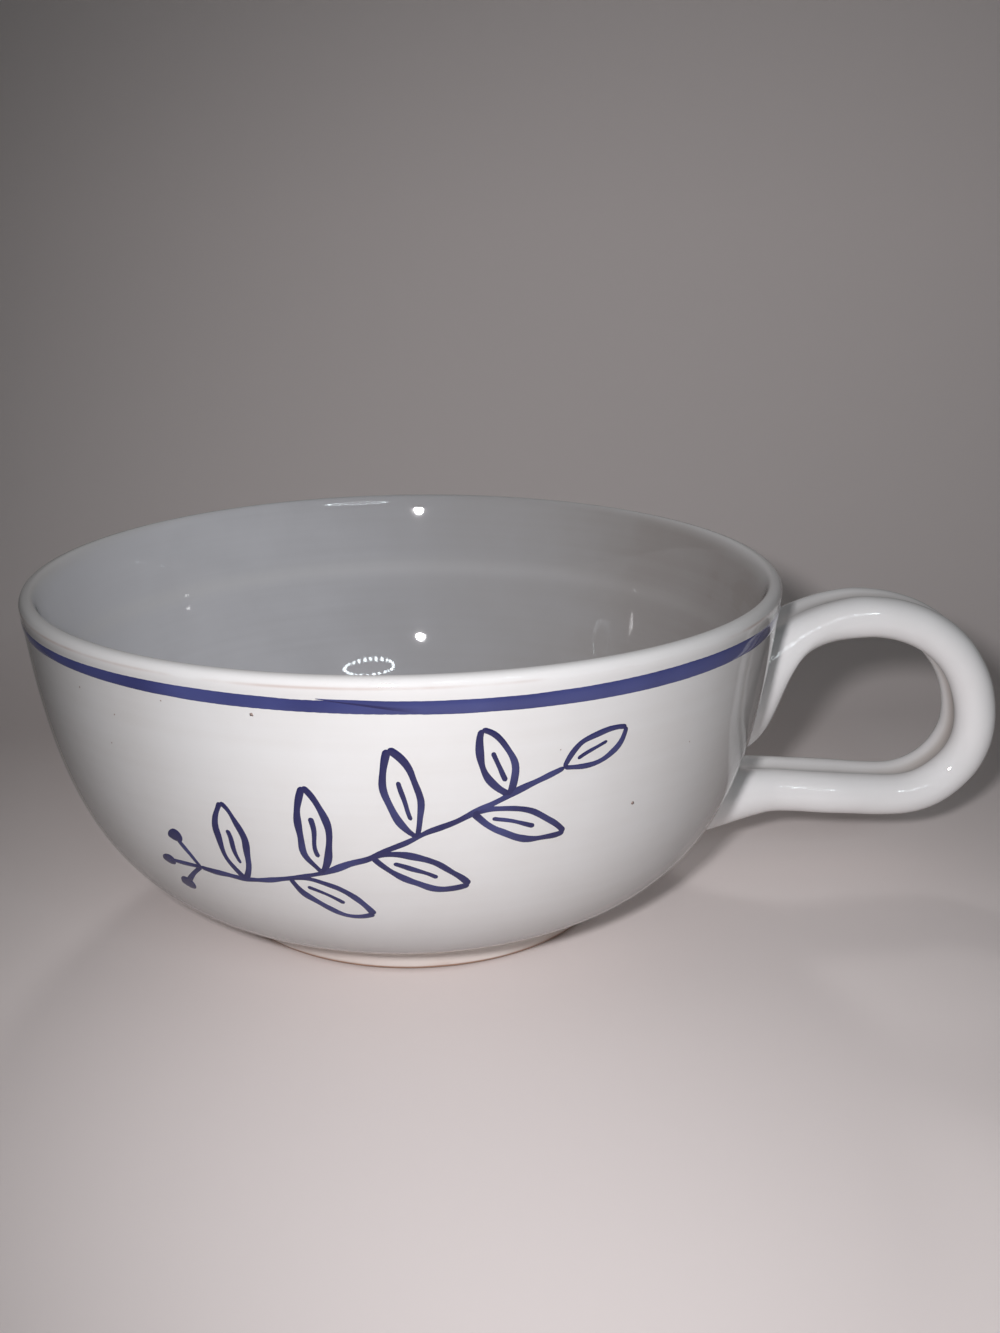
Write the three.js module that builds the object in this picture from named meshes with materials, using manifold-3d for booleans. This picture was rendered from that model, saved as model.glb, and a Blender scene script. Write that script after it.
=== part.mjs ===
// A wide tea cup of glazed earthenware: a thrown bowl on a low foot ring, a pulled strap handle
// luted to the wall by two pads of slip, and a painted band under the lip.
// Millimetres, +Z up. The bowl turns about Z and the handle points along +X.
import * as THREE from "three";
import { mergeVertices } from "three/addons/utils/BufferGeometryUtils.js";
import Module from "manifold-3d";

// Bowl: outside size, wall and floor
const RIM_RADIUS = 65; // axis to the outer edge of the lip
const RIM_HEIGHT = 60.9; // table to the ridge of the lip
const LIP_CROWN = 1.8; // ridge of the lip above its outer edge
const LIP_LEAN = 0.37; // inward lean of the lip above that edge, mm per mm
const LIP_ROLL = 1.7; // from the edge in to the ridge
const LIP_START = 0.9; // share of the wall's curve where the roll of the lip starts inside
const LIP_THICKNESS = 3.9; // of the wall there
const WALL_THICKNESS = 4.6; // at the belly
const FLOOR_THICKNESS = 3.8; // in the middle of the bowl
const WALL_LEAN = 0.1; // inward lean of the wall under the lip, mm per mm
const WALL_PULL = 26.3; // how far down the wall keeps that lean
const BELLY_REACH = 24; // how far the belly pulls out past the foot
const BELLY_RISE = 5.3; // and how far it rises there

// Foot ring, with the slip that sticks it on
const FOOT_RADIUS = 34.4; // outside, at the table
const FOOT_WIDTH = 5.5; // of the ring's face on the table
const FOOT_HEIGHT = 4.8; // table to the flat seat under the bowl
const FOOT_EDGE = 0.8; // worn bevel on the ring's edges
const FOOT_SLIP = 0.6; // height of the slip ring
const SLIP_SPREAD = 0.6; // how far slip squeezes out past a joint
const RECESS_DOME = 0.6; // turned hollow under the floor, above the seat

// Painted band under the lip
const BAND_DROP = 3.7; // ridge of the lip to the band's upper edge
const BAND_WIDTH = 1.9;
const PAINT_THICKNESS = 0.25;
const PAINT_GAP = 0.05; // between the wall and the paint

// Handle: a pulled strap of two beads side by side, with a crease between them along each face
const STRAP_THICKNESS = 7.3;
const STRAP_WIDTH = 14;
const CREASE_DEPTH = 1.5;
const CREASE_POWER = 2; // above 1 the crease is sharp at its bottom and the beads are round
const CROWN_DROP = 6.9; // lip ridge to the top of the loop
const CROWN_OUT = 17.3; // rim to the top of the loop
const HANDLE_REACH = 42.8; // rim to the outermost point of the loop
const REACH_HEIGHT = 29.3; // table to that point
const HEEL_OUT = 23.5; // rim to the lowest point of the loop
const HANDLE_LIFT = 12; // table to that point
const RUN_RISE = 1.5; // climb of the lower run from there to the wall
const RUN_SWELL = 0.4; // how much thicker the strap gets on the way
const SHOULDER_ROUND = 0.58; // fullness of the loop's upper quarter
const HEEL_ROUND = 0.5523; // and of its lower quarter, where this is a true ellipse

// Upper end of the strap, pressed on the wall with a tail drawn down it
const ROOT_DROP = 19.3; // lip ridge to where the strap's outer edge starts, inside the wall
const ROOT_SLOPE = 0.86; // rise of that edge as it leaves the wall, mm per mm
const ROOT_ARM = 10; // how far it keeps that slope
const CROWN_ARM = 7.5; // how far the crown's outer edge stays level on its way to the wall
const TAIL_HEIGHT = 24.5; // table to the tip of the tail
const TAIL_ARM = 25; // how far the tip pushes off the wall
const TAIL_CURL = 25.4; // how far the crown's inner edge stays level before it turns down

// Lower end, which droops along the belly
const RUN_OUT = 3; // rim to where the end starts to spread
const RUN_ARM = 4.5; // how far it keeps the run's slope
const HEEL_TAIL_HEIGHT = 6; // table to the tip of its tail
const HEEL_TAIL_ARM = 20; // how far the tip pushes off the wall
const HEEL_TAIL_SLOPE = 0.11; // and how steeply, mm per mm

// Joints of the two ends
const ROOT_FLARE = 5; // widening of each end, on each side
const JOINT_SLIP = 0.8; // thickness of the slip pads
const JOINT_GAP = 0.3; // left on each side of a pad
const ROOT_DEPTH = 7; // length of strap cut away to fit the wall

// Facets
const TURN_STEPS = 64;
const WALL_STEPS = 14;
const EDGE_STEPS = 3; // from the lip's outer edge up to its ridge
const ROLL_STEPS = 6; // and from there to the inside
const FLOOR_STEPS = 4;
const BAND_STEPS = 2;
const SECTION_STEPS = 32;
const SECTION_SPREAD = 0.66; // below 1 the section's corners crowd on the round sides of the beads
const STRETCH_STEPS = [12, 9, 8, 3, 8]; // upper end, shoulder, heel, lower run, lower end
const WELD = 1e-4; // corners closer than this are one corner
const HALVINGS = 40; // of the wall's curve, to find a height on it

const GLAZE = new THREE.MeshStandardMaterial({ color: 0xe8e4de, roughness: 0.18, metalness: 0 });
const CLAY = new THREE.MeshStandardMaterial({ color: 0xd9c3b4, roughness: 0.55, metalness: 0 });
const SLIP = new THREE.MeshStandardMaterial({ color: 0xdfd9d2, roughness: 0.3, metalness: 0 });
const BLUE = new THREE.MeshStandardMaterial({ color: 0x3a4082, roughness: 0.22, metalness: 0 });

const wasm = await Module();
wasm.setup();

const at = (radius, height) => new THREE.Vector2(radius, height);

function meshOf(geometry, material, name) {
  const mesh = new THREE.Mesh(geometry, material);
  mesh.name = name;
  return mesh;
}

// Solids for cutting and joining
function solidOf(geometry) {
  const bare = geometry.clone();
  bare.deleteAttribute("normal");
  bare.deleteAttribute("uv");
  const merged = mergeVertices(bare, WELD);
  const corners = merged.index.array;
  const faces = [];
  for (let i = 0; i < corners.length; i += 3) {
    const [a, b, c] = corners.slice(i, i + 3);
    if (a !== b && b !== c && c !== a) faces.push(a, b, c);
  }
  return new wasm.Manifold(
    new wasm.Mesh({
      numProp: 3,
      vertProperties: merged.attributes.position.array,
      triVerts: new Uint32Array(faces),
    }),
  );
}

function geometryOf(solid) {
  const { vertProperties, triVerts } = solid.getMesh();
  const geometry = new THREE.BufferGeometry();
  geometry.setAttribute("position", new THREE.BufferAttribute(vertProperties, 3));
  geometry.setIndex(new THREE.BufferAttribute(triVerts, 1));
  geometry.computeVertexNormals();
  return geometry;
}

// A profile of radius and height, turned on the wheel
function turned(profile) {
  return new THREE.LatheGeometry(profile, TURN_STEPS).rotateX(Math.PI / 2);
}

// The bowl's outside: one curve from the seat of the foot up to the edge of the lip
const lipHeight = RIM_HEIGHT - LIP_CROWN;
const outside = new THREE.CubicBezierCurve(
  at(FOOT_RADIUS + SLIP_SPREAD, FOOT_HEIGHT),
  at(FOOT_RADIUS + BELLY_REACH, FOOT_HEIGHT + BELLY_RISE),
  at(RIM_RADIUS - WALL_LEAN * WALL_PULL, lipHeight - WALL_PULL),
  at(RIM_RADIUS, lipHeight),
);

// A point of that curve, moved outwards along its normal
function wallPoint(along, outwards) {
  const point = outside.getPoint(along);
  const way = outside.getTangent(along);
  return at(point.x + way.y * outwards, point.y - way.x * outwards);
}

function wallPoints(outwards, from = 0, to = 1, steps = WALL_STEPS) {
  return Array.from({ length: steps + 1 }, (_, i) => wallPoint(from + ((to - from) * i) / steps, outwards));
}

// Where on the curve the wall stands at a height
function alongAt(height) {
  let low = 0;
  let high = 1;
  for (let i = 0; i < HALVINGS; i++) {
    const middle = (low + high) / 2;
    if (outside.getPoint(middle).y < height) low = middle;
    else high = middle;
  }
  return low;
}

const wallRadius = (height) => outside.getPoint(alongAt(height)).x;

// The inside, from the start of the lip's roll down to the floor, thickening towards the belly
function innerWall() {
  return Array.from({ length: WALL_STEPS + 1 }, (_, i) => {
    const share = 1 - i / WALL_STEPS;
    const thickness = THREE.MathUtils.lerp(WALL_THICKNESS, LIP_THICKNESS, share ** 3);
    return wallPoint(share * LIP_START, -thickness);
  });
}

// Bowl: underside, outer wall, lip, inner wall and floor as one closed profile. The lip slopes in
// from its outer edge to the ridge, and rolls over from there into the inside.
function bowl() {
  const outer = wallPoints(0);
  const inner = innerWall();
  const ridge = at(RIM_RADIUS - LIP_ROLL, RIM_HEIGHT);
  const overEdge = at(RIM_RADIUS - LIP_LEAN * LIP_CROWN, RIM_HEIGHT);
  const edge = new THREE.QuadraticBezierCurve(outer.at(-1), overEdge, ridge).getPoints(EDGE_STEPS);
  const rollStart = inner[0];
  const overStart = at(rollStart.x + WALL_LEAN * (RIM_HEIGHT - rollStart.y), RIM_HEIGHT);
  const roll = new THREE.CubicBezierCurve(
    ridge,
    ridge.clone().lerp(overStart, 0.75),
    rollStart.clone().lerp(overStart, 0.5),
    rollStart,
  ).getPoints(ROLL_STEPS);
  const lip = [...edge, ...roll.slice(1)];
  const well = inner.at(-1);
  const floor = FOOT_HEIGHT + RECESS_DOME + FLOOR_THICKNESS;
  const dish = new THREE.QuadraticBezierCurve(well, at(well.x / 2, floor), at(0, floor));
  const base = dish.getPoints(FLOOR_STEPS);
  const recessRadius = FOOT_RADIUS - FOOT_WIDTH;
  const underside = [at(0, FOOT_HEIGHT + RECESS_DOME), at(recessRadius - SLIP_SPREAD, FOOT_HEIGHT)];
  return turned([...underside, ...outer, ...lip.slice(1), ...inner.slice(1), ...base.slice(1)]);
}

// Foot: a ring with worn edges, and the slip squeezed between it and the bowl
function footRing() {
  const top = FOOT_HEIGHT - FOOT_SLIP;
  const inside = FOOT_RADIUS - FOOT_WIDTH;
  return turned([
    at(inside + FOOT_EDGE, 0),
    at(FOOT_RADIUS - FOOT_EDGE, 0),
    at(FOOT_RADIUS, FOOT_EDGE),
    at(FOOT_RADIUS, top),
    at(inside, top),
    at(inside, FOOT_EDGE),
    at(inside + FOOT_EDGE, 0),
  ]);
}

function footSlip() {
  const top = FOOT_HEIGHT;
  const bottom = FOOT_HEIGHT - FOOT_SLIP;
  const inside = FOOT_RADIUS - FOOT_WIDTH;
  return turned([
    at(inside, bottom),
    at(FOOT_RADIUS, bottom),
    at(FOOT_RADIUS + SLIP_SPREAD, top),
    at(inside - SLIP_SPREAD, top),
    at(inside, bottom),
  ]);
}

// Band: a thin coat of blue that follows the wall
function rimBand() {
  const upper = alongAt(RIM_HEIGHT - BAND_DROP);
  const lower = alongAt(RIM_HEIGHT - BAND_DROP - BAND_WIDTH);
  const face = wallPoints(PAINT_GAP + PAINT_THICKNESS, lower, upper, BAND_STEPS);
  const back = wallPoints(PAINT_GAP, lower, upper, BAND_STEPS).reverse();
  return turned([...face, ...back, face[0]]);
}

// Handle rails: the strap's outer and inner edges, seen from the side, as matching stretches
const crown = at(RIM_RADIUS + CROWN_OUT, RIM_HEIGHT - CROWN_DROP);
const reach = at(RIM_RADIUS + HANDLE_REACH, REACH_HEIGHT);
const heel = at(RIM_RADIUS + HEEL_OUT, HANDLE_LIFT);
const run = at(RIM_RADIUS + RUN_OUT, HANDLE_LIFT + RUN_RISE);
const runSlope = RUN_RISE / (heel.x - run.x);

// The loop from its crown round to the end of the lower run, drawn in by a distance
function loopEdge(inset) {
  const top = at(crown.x, crown.y - inset);
  const side = at(reach.x - inset, reach.y);
  const swell = (RUN_SWELL * inset) / STRAP_THICKNESS;
  const bottom = at(heel.x, heel.y + inset + swell / 2);
  const end = at(run.x, run.y + inset + swell);
  const heelArm = (side.x - bottom.x) * HEEL_ROUND;
  const shoulder = new THREE.CubicBezierCurve(
    top,
    at(top.x + (side.x - top.x) * SHOULDER_ROUND, top.y),
    at(side.x, side.y + (top.y - side.y) * SHOULDER_ROUND),
    side,
  );
  const curl = new THREE.CubicBezierCurve(
    side,
    at(side.x, side.y - (side.y - bottom.y) * HEEL_ROUND),
    at(bottom.x + heelArm, bottom.y - heelArm * runSlope),
    bottom,
  );
  return [shoulder, curl, new THREE.LineCurve(bottom, end)];
}

// A point inside the wall, from which one edge of the strap starts
const rooted = (height) => at(wallRadius(height) - ROOT_DEPTH, height);

const rootStart = rooted(RIM_HEIGHT - ROOT_DROP);
const tailStart = rooted(TAIL_HEIGHT);
const heelTailStart = rooted(HEEL_TAIL_HEIGHT);
const innerCrown = at(crown.x, crown.y - STRAP_THICKNESS);
const innerRun = at(run.x, run.y + STRAP_THICKNESS + RUN_SWELL);

const outerRail = [
  new THREE.CubicBezierCurve(
    rootStart,
    at(rootStart.x + ROOT_ARM, rootStart.y + ROOT_ARM * ROOT_SLOPE),
    at(crown.x - CROWN_ARM, crown.y),
    crown,
  ),
  ...loopEdge(0),
  new THREE.CubicBezierCurve(
    run,
    at(run.x - RUN_ARM, run.y + RUN_ARM * runSlope),
    at(heelTailStart.x + HEEL_TAIL_ARM, heelTailStart.y + HEEL_TAIL_ARM * HEEL_TAIL_SLOPE),
    heelTailStart,
  ),
];
const innerRail = [
  new THREE.CubicBezierCurve(
    tailStart,
    at(tailStart.x + TAIL_ARM, tailStart.y),
    at(innerCrown.x - TAIL_CURL, innerCrown.y),
    innerCrown,
  ),
  ...loopEdge(STRAP_THICKNESS),
  new THREE.QuadraticBezierCurve(
    innerRun,
    at(innerRun.x - RUN_ARM, innerRun.y + RUN_ARM * runSlope),
    rooted(innerRun.y),
  ),
];

// Section of the strap, from -1 to 1 across its width and through its thickness: two round beads
// with a crease pressed between their crests on both faces, as deep as the share given
function sectionPoints(creaseShare) {
  const depth = (creaseShare * CREASE_DEPTH) / (STRAP_THICKNESS / 2);
  const side = STRAP_THICKNESS / STRAP_WIDTH; // crest of a bead to its side
  return Array.from({ length: SECTION_STEPS }, (_, i) => {
    const turn = (2 * Math.PI * i) / SECTION_STEPS;
    const across = Math.abs(Math.cos(turn)) ** SECTION_SPREAD;
    const pastCrest = Math.max(0, (across - 1 + side) / side);
    const pressed = depth * Math.max(0, 1 - across / (1 - side)) ** CREASE_POWER;
    const rise = Math.sqrt(Math.max(0, 1 - pastCrest ** 2)) - pressed;
    return at(Math.sign(Math.cos(turn)) * across, Math.sign(Math.sin(turn)) * rise);
  });
}

// Rings of the strap over some of its stretches, grown by a margin all round.
// Towards the wall each end widens and its crease fades.
function strapRings(first, last, margin) {
  const rings = [];
  for (let stretch = first; stretch <= last; stretch++) {
    const steps = STRETCH_STEPS[stretch];
    for (let i = stretch === first ? 0 : 1; i <= steps; i++) {
      const share = i / steps;
      const fromWall = stretch === 0 ? share : stretch === STRETCH_STEPS.length - 1 ? 1 - share : 1;
      const outer = outerRail[stretch].getPoint(share);
      const inner = innerRail[stretch].getPoint(share);
      const centre = outer.clone().add(inner).divideScalar(2);
      const half = outer.clone().sub(centre);
      half.setLength(half.length() + margin);
      const halfWidth = STRAP_WIDTH / 2 + ROOT_FLARE * (1 - fromWall) ** 2 + margin;
      const section = sectionPoints(THREE.MathUtils.smoothstep(fromWall, 0, 1));
      rings.push(
        section.map(({ x, y }) => {
          const edge = centre.clone().addScaledVector(half, y);
          return new THREE.Vector3(edge.x, halfWidth * x, edge.y);
        }),
      );
    }
  }
  return rings;
}

// A closed skin over a row of rings, with a fan over each end
function loft(rings) {
  const count = rings[0].length;
  const middleOf = (ring) => ring.reduce((sum, p) => sum.add(p), new THREE.Vector3()).divideScalar(count);
  const points = [...rings.flat(), middleOf(rings[0]), middleOf(rings.at(-1))];
  const faces = [];
  const start = rings.length * count;
  for (let k = 0; k < count; k++) {
    const next = (k + 1) % count;
    for (let r = 0; r + 1 < rings.length; r++) {
      const [a, b] = [r * count + k, r * count + next];
      faces.push(a, b, a + count, b, b + count, a + count);
    }
    const last = (rings.length - 1) * count;
    faces.push(start, next, k, start + 1, last + k, last + next);
  }
  const geometry = new THREE.BufferGeometry().setFromPoints(points);
  geometry.setIndex(faces);
  return geometry;
}

// The bowl's outside filled to the axis and grown by a distance
function grownBowl(distance) {
  const wall = wallPoints(distance);
  return solidOf(turned([at(0, wall[0].y), ...wall, at(0, wall.at(-1).y)]));
}

// Handle: the whole strap, cut to the wall; its slip: a shell on the wall, cut to the strap's end
function handle() {
  const strap = solidOf(loft(strapRings(0, STRETCH_STEPS.length - 1, 0)));
  return geometryOf(strap.subtract(grownBowl(JOINT_SLIP + 2 * JOINT_GAP)));
}

function jointSlip(stretch) {
  const sleeve = solidOf(loft(strapRings(stretch, stretch, SLIP_SPREAD)));
  const shell = grownBowl(JOINT_SLIP + JOINT_GAP).subtract(grownBowl(JOINT_GAP));
  return geometryOf(shell.intersect(sleeve));
}

const cup = new THREE.Group();
cup.add(
  meshOf(bowl(), GLAZE, "bowl"),
  meshOf(footRing(), CLAY, "foot_ring"),
  meshOf(footSlip(), SLIP, "foot_slip"),
  meshOf(rimBand(), BLUE, "rim_band"),
  meshOf(handle(), GLAZE, "handle"),
  meshOf(jointSlip(0), SLIP, "handle_upper_slip"),
  meshOf(jointSlip(STRETCH_STEPS.length - 1), SLIP, "handle_lower_slip"),
);

// The part's origin: on the table, under the middle of the whole cup
const middle = new THREE.Box3().setFromObject(cup).getCenter(new THREE.Vector3());
cup.position.set(-middle.x, -middle.y, 0);

const part = new THREE.Group();
part.add(cup);

export default part;
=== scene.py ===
import math

import bmesh
import bpy
from mathutils import Matrix, Vector
from mathutils.noise import noise


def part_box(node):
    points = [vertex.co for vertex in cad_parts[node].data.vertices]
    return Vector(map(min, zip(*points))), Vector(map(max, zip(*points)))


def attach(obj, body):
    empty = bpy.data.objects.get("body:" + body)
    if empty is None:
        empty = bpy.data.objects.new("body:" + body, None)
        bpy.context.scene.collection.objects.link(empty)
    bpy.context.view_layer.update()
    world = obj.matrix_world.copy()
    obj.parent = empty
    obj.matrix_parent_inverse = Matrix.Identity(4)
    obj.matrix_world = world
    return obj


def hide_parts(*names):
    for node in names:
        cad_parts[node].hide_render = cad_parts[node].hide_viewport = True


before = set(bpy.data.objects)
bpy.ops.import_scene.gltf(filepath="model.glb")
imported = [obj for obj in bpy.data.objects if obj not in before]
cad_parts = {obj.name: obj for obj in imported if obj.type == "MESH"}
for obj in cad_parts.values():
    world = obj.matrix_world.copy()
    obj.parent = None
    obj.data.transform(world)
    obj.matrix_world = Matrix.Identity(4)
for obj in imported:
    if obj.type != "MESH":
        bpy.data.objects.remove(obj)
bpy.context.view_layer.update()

# Bowl: thrown on the wheel from buff earthenware, turned underneath and dipped in glossy white glaze. The
# lip is cut to a sloping edge where the glaze breaks and the clay shows through. The white is darkened the
# more slantwise it is seen, as painted shade towards the outline, and the inside is painted grey for its
# shade. All the other pieces are stuck or painted on it.
mm = 0.001
bowl_low, bowl_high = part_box("bowl")
AXIS_X = (bowl_low.x + bowl_high.x) / 2
RIM_RADIUS = (bowl_high.x - bowl_low.x) / 2
RIM_HEIGHT = bowl_high.z
SEAT_HEIGHT = bowl_low.z
SEAT_RADIUS = 35 * mm
BELLY_PULL = Vector((23.4 * mm, 5.3 * mm))  # draws the wall's curve out of its seat
WALL_PULL = Vector((2.63 * mm, 26.3 * mm))  # and down from the edge of the lip
RECESS_RADIUS = 28.3 * mm
RECESS_DOME = 0.6 * mm
RECESS_BEND = 0.7  # share of the recess's radius where the dome falls to its edge
RECESS_ROUND = 0.25  # and the share over which that bend is rounded, on each side
FLOOR_HEIGHT = 9.2 * mm
WALL_THICKNESS = 4.6 * mm
LIP_THICKNESS = 3.9 * mm
WELL_SHARES = (0.2, 0.45)  # shares of the wall's curve between which the inside rounds into the well
LIP_DROP = 1.8 * mm  # top of the lip down to its outer edge
LIP_SETTLE = 0.35 * mm  # how far the rolled lip has settled
ROLL_IN = 1.7 * mm  # outer edge of the lip in to the top of its roll
ROLL_LEAN = 0.37  # inward lean of the lip above its edge
ROLL_START = 0.4  # share of that slope where it starts to bend over
ROLL_FULLNESS = 0.9  # how far the roll fills its corner inside
EDGE_CUT = 0.4 * mm  # rounding of the lip's outer edge
LIP_END = 0.985  # share of the wall's curve where the lip takes over
INNER_END = 0.84  # and where its roll runs out inside
LIP_TILT = 0.5 * mm  # how far the lip is out of level
LIP_TILT_TURN = 0.5  # and towards where
LIP_WARP = 0.23 * mm
LIP_WARP_DEPTH = 9 * mm
FOOT_SHIFT = 1.2 * mm  # how far the foot stands off the middle, towards the handle
RING_PITCH = 9.3 * mm  # of the furrows left by the thrower's fingers
RING_CHANGE = 90  # how fast a furrow grows and fades along the clay, per metre
RING_DEPTHS = {
    "under": 0.03 * mm,
    "outside": 0.01 * mm,
    "lip": 0,
    "inside": 0.03 * mm,
    "floor": 0.06 * mm,
}
UNDER_STEPS = 12
OUTSIDE_STEPS = 84
EDGE_STEPS = 8
SLOPE_STEPS = 12
ROLL_STEPS = 40
INSIDE_STEPS = 72
FLOOR_STEPS = 24
TURN_STEPS = 256
HALVINGS = 26

lip_edge = Vector((RIM_RADIUS, RIM_HEIGHT - LIP_DROP))
seat_edge = Vector((SEAT_RADIUS, SEAT_HEIGHT))
WALL_CURVE = [seat_edge, seat_edge + BELLY_PULL, lip_edge - WALL_PULL, lip_edge]


def bezier(points, share):
    """The point at a share of a Bezier curve."""
    while len(points) > 1:
        points = [a.lerp(b, share) for a, b in zip(points, points[1:])]
    return points[0]


def curve_points(points, steps, end=1.0):
    return [bezier(points, end * i / steps) for i in range(steps + 1)]


def wall(along, outwards=0.0):
    """A point of the bowl's outside, as radius and height, moved out along its normal."""
    way = bezier([b - a for a, b in zip(WALL_CURVE, WALL_CURVE[1:])], along).normalized()
    return bezier(WALL_CURVE, along) + outwards * Vector((way.y, -way.x))


def along_at(height):
    """The share of the wall's curve that stands at a height."""
    low, high = 0.0, 1.0
    for _ in range(HALVINGS):
        middle = (low + high) / 2
        if bezier(WALL_CURVE, middle).y < height:
            low = middle
        else:
            high = middle
    return low


def smooth(share):
    """A share held between 0 and 1, with soft ends."""
    share = min(1.0, max(0.0, share))
    return share * share * (3 - 2 * share)


def thrown(point, turn):
    """A point of radius and height swung round the axis, with the unevenness of hand work."""
    near_lip = smooth(1 - (RIM_HEIGHT - point.y) / LIP_WARP_DEPTH) ** 2
    warp = LIP_TILT * math.sin(turn + LIP_TILT_TURN) - LIP_WARP * math.cos(2 * turn)
    shift = FOOT_SHIFT * max(0.0, 1 - point.y / RIM_HEIGHT) ** 3
    across = AXIS_X + shift + point.x * math.cos(turn)
    return Vector((across, point.x * math.sin(turn), point.y + near_lip * warp))


def on_wall(turn, height, lift=0.0):
    """A point on the bowl's outside, lifted off it."""
    return thrown(wall(along_at(height), lift), turn)


def rounded(corners, cuts, steps):
    """A line through corners, each rounded off over a cut length on both sides."""
    line = [corners[0]]
    for before, corner, after, cut in zip(corners, corners[1:], corners[2:], cuts):
        start = corner + (before - corner).normalized() * cut
        end = corner + (after - corner).normalized() * cut
        line += curve_points([start, corner, end], steps)
    return line + [corners[-1]]


def new_piece(name, points, faces, shades):
    """A smooth mesh object; each shade is a named value at every point."""
    mesh = bpy.data.meshes.new(name)
    mesh.from_pydata(points, [], faces)
    work = bmesh.new()
    work.from_mesh(mesh)
    bmesh.ops.recalc_face_normals(work, faces=work.faces)
    work.to_mesh(mesh)
    work.free()
    mesh.shade_smooth()
    for shade, values in shades.items():
        mesh.attributes.new(shade, "FLOAT", "POINT").data.foreach_set("value", values)
    piece = bpy.data.objects.new(name, mesh)
    bpy.context.scene.collection.objects.link(piece)
    return piece


def turned_rings(outline, depths):
    """Rings of points round the axis, one for each point of an outline, furrowed to the depths."""
    made = []
    travel = 0.0
    for i, point in enumerate(outline):
        before, after = outline[max(i - 1, 0)], outline[min(i + 1, len(outline) - 1)]
        way = (after - before).normalized()
        out = Vector((way.y, -way.x))
        travel += (point - before).length
        if point.x == 0:
            made.append([thrown(point, 0)])
            continue
        ring = []
        for j in range(TURN_STEPS):
            turn = 2 * math.pi * j / TURN_STEPS
            furrow = math.sin(2 * math.pi * travel / RING_PITCH + turn)
            furrow *= 0.5 + noise(Vector((math.cos(turn), math.sin(turn), RING_CHANGE * travel)))
            ring.append(thrown(point + out * furrow * depths[i], turn))
        made.append(ring)
    return made


def skin(rings, closed=False):
    """Points and faces of a skin over rings, where a ring of one point closes to a tip."""
    points = [point for ring in rings for point in ring]
    starts = [sum(len(ring) for ring in rings[:i]) for i in range(len(rings))]
    faces = []
    pairs = list(zip(range(len(rings)), range(1, len(rings))))
    for a, b in pairs + ([(len(rings) - 1, 0)] if closed else []):
        for k in range(max(len(rings[a]), len(rings[b]))):
            corners = [
                starts[a] + k % len(rings[a]),
                starts[a] + (k + 1) % len(rings[a]),
                starts[b] + (k + 1) % len(rings[b]),
                starts[b] + k % len(rings[b]),
            ]
            faces.append(list(dict.fromkeys(corners)))
    return points, faces


def per_ring(rings, values):
    """One value for each ring, spread over its points."""
    return [value for ring, value in zip(rings, values) for _ in ring]


RIDGE_HEIGHT = 46 * mm
RIDGE_WIDTH = 1.7 * mm
RIDGE_RISE = 0.06 * mm


def ridge_share(point):
    """A ridge left inside by the thrower's fingers, painted lighter along it as a band of painted light."""
    return math.exp(-(((point.y - RIDGE_HEIGHT) / RIDGE_WIDTH) ** 2))


def inner_wall(share):
    """A point of the inside, from the floor up to the lip: its thickness is measured square to the
    outside round the well, and level above it."""
    along = INNER_END * share
    thickness = WALL_THICKNESS - (WALL_THICKNESS - LIP_THICKNESS) * share**3
    low, high = WELL_SHARES
    level = wall(along) - Vector((thickness, 0))
    point = wall(along, -thickness).lerp(level, smooth((along - low) / (high - low)))
    return point - Vector((RIDGE_RISE * ridge_share(point), 0))


recess_line = [
    Vector((0, SEAT_HEIGHT + RECESS_DOME)),
    Vector((RECESS_RADIUS * RECESS_BEND, SEAT_HEIGHT + RECESS_DOME)),
    Vector((RECESS_RADIUS, SEAT_HEIGHT)),
]
roll_top = Vector((RIM_RADIUS - ROLL_IN, RIM_HEIGHT - LIP_SETTLE))
roll_corner = Vector((RIM_RADIUS - ROLL_LEAN * (roll_top.y - lip_edge.y), roll_top.y))
inner_top = inner_wall(1)
just_below = inner_wall(0.99)
inner_way = (inner_top - just_below).normalized()
inner_corner = inner_top + inner_way * (roll_top.y - inner_top.y)
lip_slope = [lip_edge.lerp(roll_corner, ROLL_START), roll_corner, roll_top]
lip_roll = [
    roll_top,
    roll_top.lerp(inner_corner, ROLL_FULLNESS),
    inner_top.lerp(inner_corner, ROLL_FULLNESS),
    inner_top,
]
well_edge = inner_wall(0)
well_floor = [well_edge, Vector((well_edge.x / 2, FLOOR_HEIGHT)), Vector((0, FLOOR_HEIGHT))]
stretches = {
    "under": rounded(recess_line, [RECESS_RADIUS * RECESS_ROUND], UNDER_STEPS),
    "outside": curve_points(WALL_CURVE, OUTSIDE_STEPS, LIP_END),
    "lip": rounded([wall(LIP_END), lip_edge, roll_corner], [EDGE_CUT], EDGE_STEPS)[1:-1]
    + curve_points(lip_slope, SLOPE_STEPS)
    + curve_points(lip_roll, ROLL_STEPS)[1:-1],
    "inside": [inner_wall(1 - i / INSIDE_STEPS) for i in range(INSIDE_STEPS + 1)],
    "floor": curve_points(well_floor, FLOOR_STEPS)[1:],
}
bowl_profile = [point for stretch in stretches.values() for point in stretch]
bowl_stretches = [name for name, stretch in stretches.items() for _ in stretch]
bowl_rings = turned_rings(bowl_profile, [RING_DEPTHS[name] for name in bowl_stretches])

SHADE_EDGE = -0.3 * mm  # edge of the painted grey shade inside, from the top of the roll
SHADE_EDGE_TILT = 1.2 * mm  # further out behind, further in at the front
SHADE_BLEND = 1.6 * mm
LIP_SHADE_COAT = 0.5  # share of the coat's painted shade on the lip, of that outside
THIN_MOST = 0.65  # how far the glaze breaks on the edge of the lip
THIN_WIDTH = 0.22 * mm


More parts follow.
